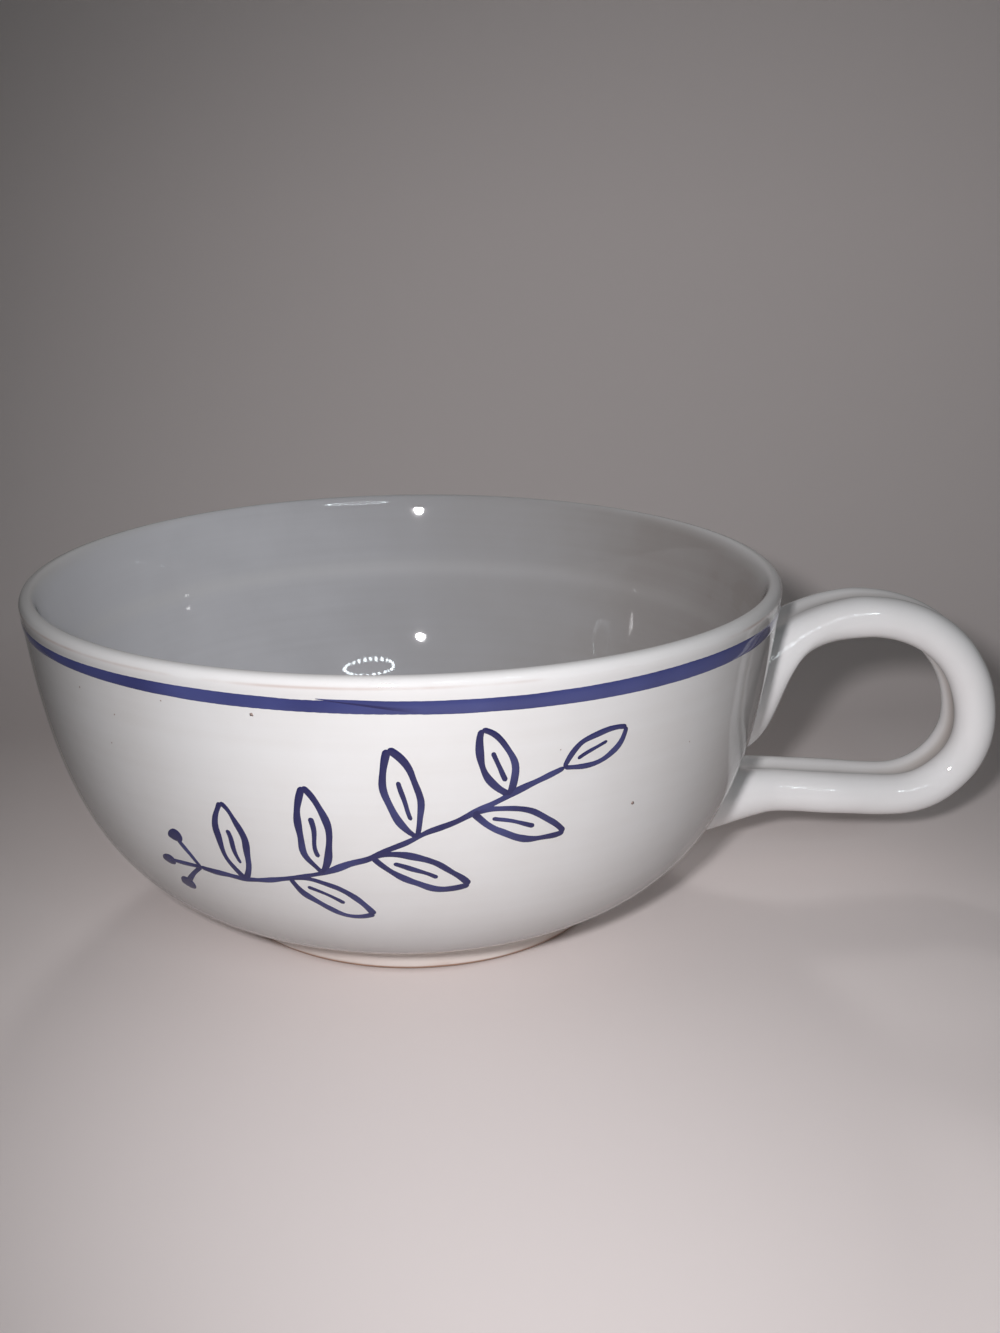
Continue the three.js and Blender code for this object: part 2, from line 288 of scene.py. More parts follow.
def inside_share(point, stretch, turn):
    """0 on the white outside, 1 on the inside that is painted grey for its shade, changing over the roll of
    the lip.
    """
    if stretch == "lip":
        return smooth((roll_top.x + SHADE_EDGE + SHADE_EDGE_TILT * math.sin(turn) - point.x) / SHADE_BLEND)
    return 1.0 if stretch in ("inside", "floor") else 0.0


def shade_coat_share(point, stretch, turn):
    """How much of the coat's painted shade a point takes: whole on the outside, less on the lip and none
    inside.
    """
    return (LIP_SHADE_COAT if stretch == "lip" else 1.0) * (1 - inside_share(point, stretch, turn))


def thin_share(point, stretch):
    """How thin the glaze has run over the edge of the lip."""
    if stretch not in ("outside", "lip"):
        return 0.0
    return THIN_MOST * math.exp(-(((point - lip_edge).length / THIN_WIDTH) ** 2))


def round_bowl(share_at):
    """A share of the bowl's profile, stretch and turn, at every point of its rings."""
    return [
        share_at(point, stretch, 2 * math.pi * i / TURN_STEPS)
        for point, stretch, ring in zip(bowl_profile, bowl_stretches, bowl_rings)
        for i in range(len(ring))
    ]


thin_edge = [thin_share(point, stretch) for point, stretch in zip(bowl_profile, bowl_stretches)]
bowl = new_piece(
    "thrown_bowl",
    *skin(bowl_rings),
    {
        # The inside and side shares place the painted shade inside, ridge places its band of painted light,
        # and coat the coat's painted shade.
        "inside": round_bowl(inside_share),
        "coat": round_bowl(shade_coat_share),
        "thin": per_ring(bowl_rings, thin_edge),
        "ridge": per_ring(bowl_rings, [ridge_share(point) for point in bowl_profile]),
        "side": [(point.x - AXIS_X) / RIM_RADIUS for ring in bowl_rings for point in ring],
    },
)


def add_node(tree, kind, settings=None, **inputs):
    """A shader node; inputs are values or other nodes' sockets, by socket name or as in_0, in_1."""
    made = tree.nodes.new("ShaderNode" + kind)
    for key, value in (settings or {}).items():
        setattr(made, key, value)
    for key, value in inputs.items():
        numbered = key.startswith("in_")
        socket = made.inputs[int(key[3:]) if numbered else key.replace("_", " ")]
        if isinstance(value, bpy.types.NodeSocket):
            tree.links.new(value, socket)
        else:
            socket.default_value = value
    return made


def maths(tree, operation, first, second):
    return add_node(tree, "Math", {"operation": operation}, in_0=first, in_1=second).outputs[0]


def spread(tree, value, low, high):
    """0 where a value is at low, 1 where it is at high, and held past both."""
    return add_node(tree, "MapRange", Value=value, From_Min=low, From_Max=high).outputs[0]


def colour_mix(tree, share, first, second):
    """first where share is 0, second where it is 1."""
    kind = {"data_type": "RGBA"}
    return add_node(tree, "Mix", kind, in_0=share, in_6=first, in_7=second).outputs[2]


def shade_value(tree, name):
    return add_node(tree, "Attribute", {"attribute_name": name}).outputs["Fac"]


CLOUD_SCALE = 70.0
WHEEL_STRETCH = (14, 14, 620)  # draws a noise out to lines round the bowl
PINHOLE_SCALE = 190.0
PINHOLE_CHANCE = 0.07
PINHOLE_EDGE = 0.045
PINHOLE_CORE = 0.02
PINHOLE_DULL = 0.4
PINHOLE_DEPTH = 4.0
GLOSS_FINEST = 0.02
GLOSS_SPREAD = 0.03
PEEL_SCALE = 420.0


def glaze_skin_group():
    """What every glazed surface shares: cloudy tone, wheel lines, pinholes and a rippled gloss."""
    group = bpy.data.node_groups.new("glaze skin", "ShaderNodeTree")
    new_socket = group.interface.new_socket
    for name in ("Lines", "Pinholes"):
        new_socket(name, in_out="INPUT", socket_type="NodeSocketFloat").default_value = 1.0
    for name in ("Cloud", "Pits", "Roughness", "Height"):
        new_socket(name, in_out="OUTPUT", socket_type="NodeSocketFloat")
    given = group.nodes.new("NodeGroupInput").outputs
    result = group.nodes.new("NodeGroupOutput").inputs
    place = add_node(group, "TexCoord").outputs["Object"]
    cloud = add_node(group, "TexNoise", Vector=place, Scale=CLOUD_SCALE, Detail=4.0).outputs["Fac"]
    stretched = add_node(group, "VectorMath", {"operation": "MULTIPLY"}, in_0=place, in_1=WHEEL_STRETCH)
    lines = add_node(group, "TexNoise", Vector=stretched.outputs[0], Scale=1.0, Detail=3.0).outputs["Fac"]
    lines = maths(group, "MULTIPLY", maths(group, "SUBTRACT", lines, 0.5), given["Lines"])
    group.links.new(maths(group, "ADD", cloud, lines), result["Cloud"])
    cells = add_node(group, "TexVoronoi", Vector=place, Scale=PINHOLE_SCALE)
    chance = add_node(group, "SeparateColor", Color=cells.outputs["Color"]).outputs["Red"]
    picked = maths(group, "GREATER_THAN", chance, 1 - PINHOLE_CHANCE)
    picked = maths(group, "MULTIPLY", picked, given["Pinholes"])
    spot = spread(group, cells.outputs["Distance"], PINHOLE_EDGE, PINHOLE_CORE)
    pits = maths(group, "MULTIPLY", spot, picked)
    group.links.new(pits, result["Pits"])
    gloss = maths(group, "ADD", maths(group, "MULTIPLY", cloud, GLOSS_SPREAD), GLOSS_FINEST)
    dull = maths(group, "MULTIPLY", pits, PINHOLE_DULL)
    group.links.new(maths(group, "ADD", gloss, dull), result["Roughness"])
    peel = add_node(group, "TexNoise", Vector=place, Scale=PEEL_SCALE, Detail=1.0).outputs["Fac"]
    sunk = maths(group, "MULTIPLY", pits, PINHOLE_DEPTH)
    group.links.new(maths(group, "SUBTRACT", peel, sunk), result["Height"])
    return group


GLAZE_SKIN = glaze_skin_group()
GLAZE_IOR = 1.5
COAT_IOR = 1.05
PEEL_DEPTH = 0.006 * mm
PIT_COLOUR = (0.11, 0.085, 0.07, 1)


def glazed_material(name, colour_of, lines, pinholes, shade_tint=None):
    """Glossy fired glaze. colour_of(tree, cloud) gives the colour under its pinholes, and a tint lays a
    thick coat over it, which takes more of the light the further it goes through it: this is painted shade,
    darkening the colour towards the outline."""
    material = bpy.data.materials.new(name)
    material.use_nodes = True
    tree = material.node_tree
    shader = tree.nodes["Principled BSDF"]
    shader.inputs["IOR"].default_value = GLAZE_IOR
    if shade_tint:
        shader.inputs["Coat Weight"].default_value = 1.0
        shader.inputs["Coat IOR"].default_value = COAT_IOR
        shader.inputs["Coat Tint"].default_value = shade_tint
    glaze = add_node(tree, "Group", {"node_tree": GLAZE_SKIN}, Lines=lines, Pinholes=pinholes)
    colour = colour_of(tree, glaze.outputs["Cloud"])
    pitted = colour_mix(tree, glaze.outputs["Pits"], colour, PIT_COLOUR)
    tree.links.new(pitted, shader.inputs["Base Color"])
    tree.links.new(glaze.outputs["Roughness"], shader.inputs["Roughness"])
    bump = add_node(tree, "Bump", Distance=PEEL_DEPTH, Height=glaze.outputs["Height"])
    tree.links.new(bump.outputs["Normal"], shader.inputs["Normal"])
    return material


WHITE = (0.985, 0.98, 0.975, 1)
WHITE_CLOUD = (0.945, 0.93, 0.915, 1)
# The coat's tint paints shade: the white darkens the more slantwise it is seen.
SHADE_COAT_TINT = (0.815, 0.815, 0.815, 1)
LIP_WHITE = (0.80, 0.795, 0.79, 1)
INSIDE_SHADE_TONES = (  # from far left to far right across the cup: painted shade and reflection, pale and bluish on the far left, dark and brownish on the far right
    (0.15, (0.75, 0.755, 0.785, 1)),
    (0.45, (0.505, 0.505, 0.525, 1)),
    (0.75, (0.48, 0.465, 0.46, 1)),
    (0.97, (0.36, 0.325, 0.305, 1)),
)
INSIDE_CLOUD = 0.2
RIDGE_LIGHT = 0.45  # share of white painted on the ridge as light, at the far left
RIDGE_LIGHT_FADE = 0.4  # and how much of that is lost at the far right
CLAY_BREAK = (0.60, 0.46, 0.41, 1)
BREAK_RANGE = (0.35, 0.65)  # of the cloud, over which the clay breaks through
CLOUD_RANGE = (0.3, 0.75)


def clouded(tree, cloud, first, second):
    return colour_mix(tree, spread(tree, cloud, *CLOUD_RANGE), first, second)


def bowl_colour(tree, cloud):
    white = clouded(tree, cloud, WHITE, WHITE_CLOUD)
    outside = colour_mix(tree, shade_value(tree, "coat"), LIP_WHITE, white)
    # Across the cup from left to right: the painted shade inside and the painted light on its ridge change
    # along it.
    across = spread(tree, shade_value(tree, "side"), -1.0, 1.0)
    cloudy = maths(tree, "MULTIPLY", maths(tree, "SUBTRACT", cloud, 0.5), INSIDE_CLOUD)
    tones = add_node(tree, "ValToRGB", Fac=maths(tree, "ADD", across, cloudy))
    tones.color_ramp.interpolation = "B_SPLINE"
    while len(tones.color_ramp.elements) < len(INSIDE_SHADE_TONES):
        tones.color_ramp.elements.new(0.5)
    for stop, (place, tone) in zip(tones.color_ramp.elements, INSIDE_SHADE_TONES):
        stop.position = place
        stop.color = tone
    # A band of painted light along the ridge inside, weaker towards the right.
    ridge_light = maths(tree, "SUBTRACT", RIDGE_LIGHT, maths(tree, "MULTIPLY", across, RIDGE_LIGHT_FADE))
    ridge_light_mix = maths(tree, "MULTIPLY", shade_value(tree, "ridge"), ridge_light)
    inside = colour_mix(tree, ridge_light_mix, tones.outputs["Color"], LIP_WHITE)
    both = colour_mix(tree, shade_value(tree, "inside"), outside, inside)
    broken = maths(tree, "MULTIPLY", shade_value(tree, "thin"), spread(tree, cloud, *BREAK_RANGE))
    return colour_mix(tree, broken, both, CLAY_BREAK)


bowl_glaze = glazed_material(
    "white_glaze_on_bowl", bowl_colour, lines=0.5, pinholes=1.0, shade_tint=SHADE_COAT_TINT
)
bowl_tree = bowl_glaze.node_tree
# The coat share sets how much painted shade the coat lays on each point.
bowl_shade_coat = bowl_tree.nodes["Principled BSDF"].inputs["Coat Weight"]
bowl_tree.links.new(shade_value(bowl_tree, "coat"), bowl_shade_coat)
bowl.data.materials.append(bowl_glaze)
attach(bowl, "root")
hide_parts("bowl")

# Foot ring: a low ring of the same clay that lifts the bowl off the table. It was wiped before
# firing, so the glaze on it is thin and pink and its worn lower edge is bare brown clay.
FOOT_RADIUS = 34.4 * mm
FOOT_WIDTH = 5.5 * mm
FOOT_SPREAD = 0.4 * mm  # how far the ring widens up to the bowl
FOOT_SUNK = 0.3 * mm  # of the ring's top in the bowl's clay
FOOT_EDGE = 0.7 * mm  # rounding of its lower edges
FOOT_TOP_EDGE = 0.1 * mm
BARE_HEIGHT = 0.9 * mm
foot_inside = FOOT_RADIUS - FOOT_WIDTH
foot_top = SEAT_HEIGHT + FOOT_SUNK
foot_middle = Vector((foot_inside + FOOT_WIDTH / 2, 0))
foot_corners = [
    foot_middle,
    Vector((FOOT_RADIUS, 0)),
    Vector((FOOT_RADIUS + FOOT_SPREAD, foot_top)),
    Vector((foot_inside - FOOT_SPREAD, foot_top)),
    Vector((foot_inside, 0)),
    foot_middle,
]
foot_cuts = [FOOT_EDGE, FOOT_TOP_EDGE, FOOT_TOP_EDGE, FOOT_EDGE]
foot_profile = rounded(foot_corners, foot_cuts, EDGE_STEPS)[:-1]
foot_rings = turned_rings(foot_profile, [0] * len(foot_profile))
foot_bare = [max(0.0, 1 - point.y / BARE_HEIGHT) for point in foot_profile]
foot = new_piece(
    "foot_ring_wiped", *skin(foot_rings, closed=True), {"bare": per_ring(foot_rings, foot_bare)}
)
FOOT_PINK = (0.90, 0.775, 0.71, 1)
FOOT_WHITE = (0.95, 0.875, 0.825, 1)
BARE_CLAY = (0.45, 0.275, 0.19, 1)
BARE_RAGGED = 0.35
BARE_RANGE = (0.35, 0.65)


def foot_colour(tree, cloud):
    thin = clouded(tree, cloud, FOOT_WHITE, FOOT_PINK)
    ragged = maths(tree, "ADD", shade_value(tree, "bare"), maths(tree, "MULTIPLY", cloud, BARE_RAGGED))
    return colour_mix(tree, spread(tree, ragged, *BARE_RANGE), thin, BARE_CLAY)


foot_glaze = glazed_material("wiped_foot_clay", foot_colour, lines=0.6, pinholes=1.0, shade_tint=SHADE_COAT_TINT)
foot.data.materials.append(foot_glaze)
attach(foot, "root")
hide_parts("foot_ring")

# Foot slip: the bead of wet clay that stuck the ring on, smoothed into a small cove on both
# sides of the ring and glazed over with the bowl.
COVE_ON_FOOT = 1.1 * mm
COVE_ON_BELLY = 0.035  # share of the wall's curve
COVE_ON_RECESS = 1.2 * mm
COVE_IN_FOOT = 0.1 * mm  # how deep its lower edge runs into the ring
COVE_IN_RECESS = 0.02 * mm
COVE_SUNK = 0.4 * mm
COVE_STEPS = 10


def cove(on_foot, corner, on_bowl):
    """A closed profile from the ring to the bowl with a hollow face and its back in the clay."""
    return curve_points([on_foot, corner, on_bowl], COVE_STEPS) + [corner + Vector((0, COVE_SUNK))]


outer_corner = Vector((FOOT_RADIUS + FOOT_SPREAD, SEAT_HEIGHT))
recess_corner = Vector((foot_inside - FOOT_SPREAD, SEAT_HEIGHT))
outer_foot = outer_corner - Vector((COVE_IN_FOOT, COVE_ON_FOOT))
recess_foot = recess_corner - Vector((-COVE_IN_FOOT, COVE_ON_FOOT))
recess_ceiling = recess_corner - Vector((COVE_ON_RECESS, -COVE_IN_RECESS))
foot_slip_points, foot_slip_faces = [], []
for cove_profile in (
    cove(outer_foot, outer_corner, wall(COVE_ON_BELLY)),
    cove(recess_foot, recess_corner, recess_ceiling),
):
    cove_points, cove_faces = skin(turned_rings(cove_profile, [0] * len(cove_profile)), closed=True)
    foot_slip_faces += [[i + len(foot_slip_points) for i in face] for face in cove_faces]
    foot_slip_points += cove_points
foot_slip = new_piece("foot_slip_cove", foot_slip_points, foot_slip_faces, {})


def slip_colour(tree, cloud):
    return clouded(tree, cloud, WHITE, WHITE_CLOUD)


SLIP_GLAZE = glazed_material("glaze_over_slip", slip_colour, lines=0.3, pinholes=0.6, shade_tint=SHADE_COAT_TINT)
foot_slip.data.materials.append(SLIP_GLAZE)
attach(foot_slip, "root")
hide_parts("foot_slip")

# Handle: a strap pulled from a wedge of wet clay, stroked to two beads with a crease between them
# on each face, bent to a loop and pressed on the wall at both ends. The glaze runs off the creases
# and leaves them faintly brown.
STRAP_THICKNESS = 7.3 * mm
STRAP_WIDTH = 14 * mm
CREASE_DEPTH = 1.5 * mm
CREASE_POWER = 2
BEAD_SHARE = STRAP_THICKNESS / STRAP_WIDTH  # of the half width that is the round side of a bead
LINE_SPREAD = 0.66  # draws the lines of the strap towards its round sides
ROOT_FLARE = 5 * mm
RUN_SWELL = 0.4 * mm  # how much thicker the strap gets along its lower run
RUN_BULGE = 0.5 * mm  # and broader in the middle of that run
ROOT_DEPTH = 7 * mm
STRAP_SUNK = 1.4 * mm  # how deep the ends sit in the bowl's clay
SECTION_STEPS = 72
STRETCH_STEPS = (44, 40, 34, 20, 32)  # root, shoulder, heel, lower run and its root
RUN_STRETCH = 3  # which of these is the lower run
EVEN_PASSES = 10
PULL_WAVE = 0.07 * mm  # unevenness left by the pulling hand
PULL_PITCH = 5 * mm

crown = Vector((RIM_RADIUS + 17.3 * mm, RIM_HEIGHT - 6.9 * mm))
reach = Vector((RIM_RADIUS + 42.8 * mm, 29.3 * mm))
heel = Vector((RIM_RADIUS + 23.5 * mm, 12 * mm))
run = Vector((RIM_RADIUS + 3 * mm, 13.5 * mm))
run_way = (run - heel).normalized()
SHOULDER_ROUND = 0.58
HEEL_ROUND = 0.5523
UPPER_ROOT_DROP = 19.3 * mm  # rim down to where the strap's outer edge meets the wall
UPPER_TAIL_HEIGHT = 24.5 * mm  # where its inner edge does, at the end of a long tail
LOWER_TAIL_HEIGHT = 6 * mm  # and where its lower edge runs out under the belly
UPPER_ROOT_PULL = Vector((10 * mm, 8.6 * mm))  # the pulls give the curves their way at each end
CROWN_PULL = Vector((7.5 * mm, 0))
UPPER_TAIL_PULL = Vector((25 * mm, 0))
INNER_CROWN_PULL = Vector((25.4 * mm, 0))
LOWER_TAIL_PULL = Vector((20 * mm, 2.2 * mm))
RUN_PULL = 4.5 * mm


def rooted(height):
    """A point inside the wall, where one edge of the strap would end."""
    return Vector((wall(along_at(height)).x - ROOT_DEPTH, height))


def loop_edge(inset):
    """The loop from its crown round to the end of the lower run, drawn in by a distance."""
    top = crown - Vector((0, inset))
    side = reach - Vector((inset, 0))
    swell = RUN_SWELL * inset / STRAP_THICKNESS
    bottom = heel + Vector((0, inset + swell / 2))
    end = run + Vector((0, inset + swell))
    shoulder = [
        top,
        Vector((top.x + (side.x - top.x) * SHOULDER_ROUND, top.y)),
        Vector((side.x, side.y + (top.y - side.y) * SHOULDER_ROUND)),
        side,
    ]
    heel_bend = [
        side,
        Vector((side.x, side.y - (side.y - bottom.y) * HEEL_ROUND)),
        bottom - run_way * (side.x - bottom.x) * HEEL_ROUND,
        bottom,
    ]
    return [shoulder, heel_bend, [bottom, end]]


upper_root = rooted(RIM_HEIGHT - UPPER_ROOT_DROP)
upper_tail = rooted(UPPER_TAIL_HEIGHT)
lower_tail = rooted(LOWER_TAIL_HEIGHT)
inner_crown = crown - Vector((0, STRAP_THICKNESS))
inner_run = run + Vector((0, STRAP_THICKNESS + RUN_SWELL))
OUTER_RAIL = [
    [upper_root, upper_root + UPPER_ROOT_PULL, crown - CROWN_PULL, crown],
    *loop_edge(0),
    [run, run + run_way * RUN_PULL, lower_tail + LOWER_TAIL_PULL, lower_tail],
]
INNER_RAIL = [
    [upper_tail, upper_tail + UPPER_TAIL_PULL, inner_crown - INNER_CROWN_PULL, inner_crown],
    *loop_edge(STRAP_THICKNESS),
    [inner_run, inner_run + run_way * RUN_PULL, rooted(inner_run.y)],
]


def strap_point(angle, place):
    """A point of the strap at an angle of its section and a place along it, and its crease."""
    stretch = min(int(place), len(STRETCH_STEPS) - 1)
    share = place - stretch
    from_wall = {0: share, len(STRETCH_STEPS) - 1: 1 - share}.get(stretch, 1.0)
    outer, inner = bezier(OUTER_RAIL[stretch], share), bezier(INNER_RAIL[stretch], share)
    middle = (outer + inner) / 2
    across = abs(math.cos(angle)) ** LINE_SPREAD
    past_bead = max(0.0, across - 1 + BEAD_SHARE) / BEAD_SHARE
    fold = max(0.0, 1 - across / (1 - BEAD_SHARE)) * smooth(from_wall)
    pressed = CREASE_DEPTH / (STRAP_THICKNESS / 2) * fold**CREASE_POWER
    rise = math.copysign(math.sqrt(max(0.0, 1 - past_bead**2)) - pressed, math.sin(angle))
    edge = middle + (outer - middle) * rise
    half_width = STRAP_WIDTH / 2 + ROOT_FLARE * (1 - from_wall) ** 2
    if stretch == RUN_STRETCH:
        half_width += RUN_BULGE * math.sin(math.pi * share) ** 2
    sideways = half_width * math.copysign(across, math.cos(angle))
    return Vector((AXIS_X + edge.x, sideways, edge.y)), fold


def off_wall(point):
    """How far a point stands off the bowl's outside."""
    along = along_at(point.z)
    from_wall = Vector((math.hypot(point.x - AXIS_X, point.y), point.z)) - wall(along)
    return from_wall.dot(wall(along, 1.0) - wall(along))


def place_off_wall(angle, loose, fixed, distance):
    """The place between a loose and a rooted end of the strap at a distance off the wall."""
    for _ in range(HALVINGS):
        middle = (loose + fixed) / 2
        if off_wall(strap_point(angle, middle)[0]) > distance:
            loose = middle
        else:
            fixed = middle
    return loose


def pulled(point):
    """A point of the strap with the unevenness of the hand that pulled it."""
    place = point / PULL_PITCH
    ways = (noise(place), noise(place + Vector((9, 0, 0))), noise(place + Vector((0, 9, 0))))
    return point + Vector(ways) * PULL_WAVE


OUTER_STAIN = 0.45
RUN_STAIN = 0.2
STAIN_END = 3.3  # place along the strap where the stain inside the loop has faded
STAIN_FADE = 0.8


def stained(angle, place):
    """How brown a crease is: most inside the loop, least on top of the lower run."""
    if math.sin(angle) > 0:
        return OUTER_STAIN
    return RUN_STAIN + (1 - RUN_STAIN) * smooth((STAIN_END - place) / STAIN_FADE)


section_angles = [2 * math.pi * (i + 0.5) / SECTION_STEPS for i in range(SECTION_STEPS)]
strap_end = float(len(STRETCH_STEPS))
strap_lines, crease_lines = [], []
for angle in section_angles:
    first = place_off_wall(angle, 1.0, 0.0, -STRAP_SUNK)
    last = place_off_wall(angle, strap_end - 1, strap_end, -STRAP_SUNK)
    stretch_ends = [first, *range(1, len(STRETCH_STEPS)), last]
    places = [first]
    for low, high, steps in zip(stretch_ends, stretch_ends[1:], STRETCH_STEPS):
        places += [low + (high - low) * (i + 1) / steps for i in range(steps)]
    found = [strap_point(angle, place) for place in places]
    strap_line = [point for point, _ in found]
    for _ in range(EVEN_PASSES):
        threes = zip(strap_line, strap_line[1:], strap_line[2:])
        strap_line[1:-1] = [(a + 2 * b + c) / 4 for a, b, c in threes]
    strap_lines.append([pulled(point) for point in strap_line])
    crease_lines.append([fold**2 * stained(angle, place) for place, (_, fold) in zip(places, found)])
strap_rings = [list(ring) for ring in zip(*strap_lines)]
strap_tips = [[sum(ring, Vector()) / SECTION_STEPS] for ring in (strap_rings[0], strap_rings[-1])]
strap_rings = [strap_tips[0], *strap_rings, strap_tips[1]]
creases = [0.0, *[value for ring in zip(*crease_lines) for value in ring], 0.0]
handle = new_piece("handle_strap", *skin(strap_rings), {"crease": creases})
HANDLE_WHITE = (0.985, 0.98, 0.98, 1)
HANDLE_CLOUD = (0.945, 0.935, 0.93, 1)
# The handle's coat is tinted less than the bowl's, so it is painted lighter, as if more light fell on it.
HANDLE_SHADE_TINT = (0.93, 0.93, 0.93, 1)
CREASE_BROWN = (0.36, 0.27, 0.21, 1)
CREASE_STAIN = 0.95


def handle_colour(tree, cloud):
    white = clouded(tree, cloud, HANDLE_WHITE, HANDLE_CLOUD)
    stain = maths(tree, "MULTIPLY", shade_value(tree, "crease"), CREASE_STAIN)
    return colour_mix(tree, stain, white, CREASE_BROWN)


handle_glaze = glazed_material(
    "white_glaze_on_handle", handle_colour, lines=0.0, pinholes=0.8, shade_tint=HANDLE_SHADE_TINT
)
handle.data.materials.append(handle_glaze)
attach(handle, "root")
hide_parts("handle")

# Handle slip: the wet clay that luted each end of the strap, wiped with a finger to a smooth cove
# between the strap and the wall, under the same white glaze.
COVE_ON_STRAP = 2.2 * mm
COVE_ON_WALL = 2.2 * mm
COVE_EDGE = 0.15 * mm  # how deep the cove's edges run into the clay, so that they leave no step
COVE_WALK = 1 / 400  # share of a stretch of the strap walked at a time


def wall_normal(point):
    """The bowl's outward normal at a point near its wall."""
    turn = math.atan2(point.y, point.x - AXIS_X)
    along = along_at(point.z)
    out = wall(along, 1.0) - wall(along)
    return Vector((out.x * math.cos(turn), out.x * math.sin(turn), out.y))


def set_on_wall(point, lift):
    return point - wall_normal(point) * (off_wall(point) - lift)


def joint_cove(name, loose, fixed):
    """A ring of slip round one end of the strap, between its loose place and its rooted end."""
    meets = [place_off_wall(angle, loose, fixed, 0.0) for angle in section_angles]
    corners = [strap_point(angle, place)[0] for angle, place in zip(section_angles, meets)]
    middle = sum(corners, Vector()) / SECTION_STEPS
    step = (loose - fixed) * COVE_WALK
    cove_rings = []
    for k, (angle, corner) in enumerate(zip(section_angles, corners)):
        place, on_strap, travelled = meets[k], corner, 0.0
        while travelled < COVE_ON_STRAP and min(loose, fixed) <= place + step <= max(loose, fixed):
            place += step
            following = strap_point(angle, place)[0]
            travelled += (following - on_strap).length
            on_strap = following
        normal = wall_normal(corner)
        around = corners[(k + 1) % SECTION_STEPS] - corners[k - 1]
        away = around.cross(normal).normalized()
        if away.dot(corner - middle) < 0:
            away = -away
        on_bowl = set_on_wall(corner + away * COVE_ON_WALL, -COVE_EDGE)
        into_strap = (strap_point(angle + math.pi, place)[0] - on_strap).normalized() * COVE_EDGE
        face = curve_points([on_strap + into_strap, corner, on_bowl], COVE_STEPS)
        cove_rings.append(face + [corner - normal * COVE_ON_WALL / 2 - away * COVE_ON_WALL / 4])
    slip = new_piece(name, *skin(cove_rings, closed=True), {})
    slip.data.materials.append(SLIP_GLAZE)
    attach(slip, "root")
    return slip


upper_slip = joint_cove("upper_joint_slip", 1.0, 0.0)
lower_slip = joint_cove("lower_joint_slip", strap_end - 1, strap_end)
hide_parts("handle_upper_slip")
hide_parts("handle_lower_slip")

# Rim band: one long stroke of cobalt blue, laid on the turning bowl with a loaded brush just under
# the lip. The stroke starts on a slant over its own end, and its edges wander a little.
BAND_TOP = 57.37 * mm
BAND_BOTTOM = 55.1 * mm
BAND_TILT = 0.12 * mm  # lower towards the handle
BAND_TOP_WAVE = 0.22 * mm
BAND_TOP_WAVES = 5
BAND_TOP_TURN = math.radians(120)
BAND_BOTTOM_WAVE = 0.36 * mm
BAND_BOTTOM_WAVES = 2
BAND_BOTTOM_TURN = math.radians(145)
BAND_RIPPLE = 0.05 * mm
BAND_RIPPLES = 14
BAND_SWELL = 0.4 * mm  # broader away from the handle
BAND_SWELL_POWER = 8
BAND_STEP = 0.15 * mm  # how far the start of the stroke stands above its end
BAND_START = math.radians(-101)
BAND_SLANT = math.radians(13)  # turn over which the start of the stroke reaches full width
BAND_LEAST = 0.04  # share of its width at the very start
BAND_OVERLAP = math.radians(20)
BAND_STEPS = 720
BAND_THICK = 1.2  # times the thickness of other strokes
BAND_THINNED = 0.5  # taken off where the brush runs out
BAND_LOAD = 0.3
BAND_EDGE_LOAD = 0.35
BAND_STREAK = 0.25
BAND_STREAKS = 9
BAND_START_LOAD = 1.6
END_LOAD = 0.6
PAINT_THICKNESS = 0.06 * mm
PAINT_SUNK = 0.04 * mm
ACROSS = [-1, -0.96, -0.86, -0.66, -0.33, 0, 0.33, 0.66, 0.86, 0.96, 1]
LOWER_HALF = -0.2  # places across the band below this take the extra paint of the start


def paint_ring(low_edge, high_edge, out, thickness):
    """A section of a brush stroke between its two edges on the wall, closed under the glaze."""
    ring = []
    for across in ACROSS:
        lift = -PAINT_SUNK + (PAINT_SUNK + thickness) * (1 - across**4)
        ring.append(low_edge.lerp(high_edge, (across + 1) / 2) + out * lift)
    return ring + [(low_edge + high_edge) / 2 - out * 2 * PAINT_SUNK]


def pooled(across):
    """Pigment gathers along the edges of a stroke."""
    return abs(across) ** 8


def stroke_skin(sections):
    tips = [[sum(ring, Vector()) / len(ring)] for ring in (sections[0], sections[-1])]
    return skin([tips[0], *sections, tips[1]])


